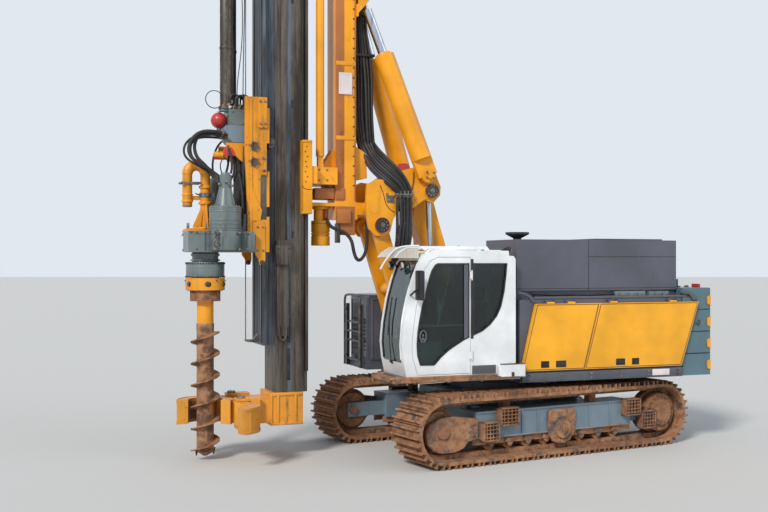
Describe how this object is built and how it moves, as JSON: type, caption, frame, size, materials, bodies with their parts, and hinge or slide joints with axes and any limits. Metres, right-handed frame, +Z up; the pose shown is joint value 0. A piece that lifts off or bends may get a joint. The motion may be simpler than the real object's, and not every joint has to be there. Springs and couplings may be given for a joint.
{
  "type": "pile driver rig",
  "caption": "Crawler piling rig with a tall leader on a parallel boom, a rotary drive with an auger on a sledge, a slewing machine house and a cab.",
  "frame": {"origin": "on the ground under the middle of the whole rig", "axes": "+X forward towards the mast, +Y to the left, the cab side, +Z up"},
  "size_m": [7.947, 4.0182, 15.1],
  "materials": {
    "black_plastic": "satin",
    "black_rubber": "matte",
    "cab_paint": "satin",
    "drive_paint": "satin",
    "hood_paint": "satin",
    "mast_steel": "satin",
    "mud_plate": "matte",
    "rod_chrome": "polished",
    "seat_fabric": "matte",
    "track_steel": "rough",
    "weight_paint": "satin",
    "window_glass": "clear",
    "yellow_paint": "satin"
  },
  "bodies": {
    "undercarriage": {"track_left": "track_steel", "track_right": "track_steel", "track_frame_left": "weight_paint", "track_frame_right": "weight_paint", "wheels_left": "track_steel", "wheels_right": "track_steel", "carbody": "weight_paint"},
    "house": {"deck": "hood_paint", "counterweight": "weight_paint", "machine_house": "hood_paint", "engine_hood": "hood_paint", "engine": "drive_paint", "exhaust": "mast_steel", "cab_shell": "cab_paint", "cab_glass": "window_glass", "cab_guard": "cab_paint", "operator_seat": "seat_fabric", "mirror": "black_plastic", "walkway": "mud_plate", "front_cabinet": "hood_paint", "front_ladder": "hood_paint"},
    "cab_door": {"cab_door": "cab_paint", "door_glass": "window_glass"},
    "side_door_left_front": {"side_door_left_front": "yellow_paint"},
    "side_door_left_rear": {"side_door_left_rear": "yellow_paint"},
    "side_door_right_front": {"side_door_right_front": "yellow_paint"},
    "side_door_right_rear": {"side_door_right_rear": "yellow_paint"},
    "boom": {"boom": "yellow_paint"},
    "rear_link": {"rear_link": "yellow_paint"},
    "knuckle": {"knuckle": "yellow_paint", "knuckle_hoses": "black_rubber"},
    "lift_barrels": {"lift_barrels": "yellow_paint"},
    "lift_rods": {"lift_rods": "rod_chrome"},
    "incline_barrels": {"incline_barrels": "yellow_paint"},
    "incline_rod_left": {"incline_rod_left": "rod_chrome"},
    "incline_rod_right": {"incline_rod_right": "rod_chrome"},
    "mast_support": {"mast_support": "yellow_paint", "guide_claws": "yellow_paint", "crowd_motor": "yellow_paint", "shift_cylinder": "yellow_paint", "mast_hoses": "black_rubber"},
    "leader": {"leader": "mast_steel", "front_rail": "mast_steel", "leader_head": "yellow_paint", "shift_rod": "mast_steel", "chain_tensioner": "mast_steel", "leader_foot": "yellow_paint"},
    "front_sheave": {"front_sheave": "mast_steel"},
    "rear_sheave": {"rear_sheave": "mast_steel"},
    "jaw_left": {"jaw_left": "yellow_paint"},
    "jaw_right": {"jaw_right": "yellow_paint"},
    "sledge": {"sledge": "yellow_paint", "rotary_drive": "drive_paint", "drive_motors": "drive_paint", "gooseneck": "yellow_paint", "manifold": "drive_paint", "extension_tubes": "mast_steel", "drive_hoses": "black_rubber"},
    "auger": {"spindle": "mast_steel", "auger": "track_steel"}
  },
  "joints": [
    {"name": "slew", "type": "hinge", "parent": "undercarriage", "child": "house", "pos_m": [-1.06, 0, 1.075], "axis": [0, 0, 1], "continuous": true},
    {"name": "boom_luff", "type": "hinge", "parent": "house", "child": "boom", "pos_m": [0.465, 0, 1.48], "axis": [0, 1, 0], "range_deg": [-6, 24]},
    {"name": "rear_link_luff", "type": "hinge", "parent": "house", "child": "rear_link", "pos_m": [-0.325, 0, 2], "axis": [0, 1, 0], "range_deg": [-6, 24]},
    {"name": "knuckle_level", "type": "hinge", "parent": "boom", "child": "knuckle", "pos_m": [1.0398, 0, 3.3601], "axis": [0, 1, 0], "range_deg": [-24, 6]},
    {"name": "lift_swing", "type": "hinge", "parent": "house", "child": "lift_barrels", "pos_m": [0.14, 0, 1.45], "axis": [0, 1, 0], "range_deg": [-5, 20]},
    {"name": "lift_stroke", "type": "slide", "parent": "lift_barrels", "child": "lift_rods", "axis": [0.0451, 0, 0.999], "range_m": [-0.24, 0.06]},
    {"name": "mast_tilt", "type": "hinge", "parent": "knuckle", "child": "mast_support", "pos_m": [1.155, 0, 3.6], "axis": [0, 1, 0], "range_deg": [-15, 5]},
    {"name": "incline_swing", "type": "hinge", "parent": "knuckle", "child": "incline_barrels", "pos_m": [0.34, 0, 4.1], "axis": [0, 1, 0], "range_deg": [-17, 6]},
    {"name": "incline_stroke_left", "type": "slide", "parent": "incline_barrels", "child": "incline_rod_left", "axis": [0.3174, -0.1277, 0.9397], "range_m": [-0.3, 0.1]},
    {"name": "incline_stroke_right", "type": "slide", "parent": "incline_barrels", "child": "incline_rod_right", "axis": [0.3174, 0.1277, 0.9397], "range_m": [-0.3, 0.1]},
    {"name": "leader_shift", "type": "slide", "parent": "mast_support", "child": "leader", "axis": [0, 0, 1], "range_m": [-0.3, 2.4]},
    {"name": "sledge_travel", "type": "slide", "parent": "leader", "child": "sledge", "axis": [0, 0, 1], "range_m": [-1.3, 6.4]},
    {"name": "auger_spin", "type": "hinge", "parent": "sledge", "child": "auger", "pos_m": [3.562, 0, 2.5], "axis": [0, 0, 1], "continuous": true},
    {"name": "jaw_left_swing", "type": "hinge", "parent": "leader", "child": "jaw_left", "pos_m": [3.12, 0.33, 0.69], "axis": [0, 0, 1], "range_deg": [-100, 0]},
    {"name": "jaw_right_swing", "type": "hinge", "parent": "leader", "child": "jaw_right", "pos_m": [3.12, -0.33, 0.69], "axis": [0, 0, -1], "range_deg": [0, 100]},
    {"name": "front_sheave_spin", "type": "hinge", "parent": "leader", "child": "front_sheave", "pos_m": [3.222, 0, 14.87], "axis": [0, 1, 0], "continuous": true},
    {"name": "rear_sheave_spin", "type": "hinge", "parent": "leader", "child": "rear_sheave", "pos_m": [2.08, 0, 14.87], "axis": [0, 1, 0], "continuous": true},
    {"name": "cab_door_swing", "type": "hinge", "parent": "house", "child": "cab_door", "pos_m": [0.078, 1.508, 2], "axis": [0, 0, 1], "range_deg": [0, 150]},
    {"name": "side_door_left_front_lift", "type": "hinge", "parent": "house", "child": "side_door_left_front", "pos_m": [-1.36, 1.47, 2.227], "axis": [1, 0, 0], "range_deg": [0, 80]},
    {"name": "side_door_left_rear_lift", "type": "hinge", "parent": "house", "child": "side_door_left_rear", "pos_m": [-2.76, 1.47, 2.227], "axis": [1, 0, 0], "range_deg": [0, 80]},
    {"name": "side_door_right_front_lift", "type": "hinge", "parent": "house", "child": "side_door_right_front", "pos_m": [-1.36, -1.47, 2.227], "axis": [-1, 0, 0], "range_deg": [0, 80]},
    {"name": "side_door_right_rear_lift", "type": "hinge", "parent": "house", "child": "side_door_right_rear", "pos_m": [-2.76, -1.47, 2.227], "axis": [-1, 0, 0], "range_deg": [0, 80]}
  ],
  "couplings": [
    {"joint": "rear_link_luff", "follows": "boom_luff", "ratio": 1},
    {"joint": "knuckle_level", "follows": "boom_luff", "ratio": -1},
    {"joint": "lift_swing", "follows": "boom_luff", "ratio": 0.8022},
    {"joint": "lift_stroke", "follows": "boom_luff", "m_per_rad": -0.55271},
    {"joint": "incline_swing", "follows": "mast_tilt", "ratio": 1.1116},
    {"joint": "incline_stroke_left", "follows": "mast_tilt", "m_per_rad": 0.917},
    {"joint": "incline_stroke_right", "follows": "mast_tilt", "m_per_rad": 0.917}
  ]
}
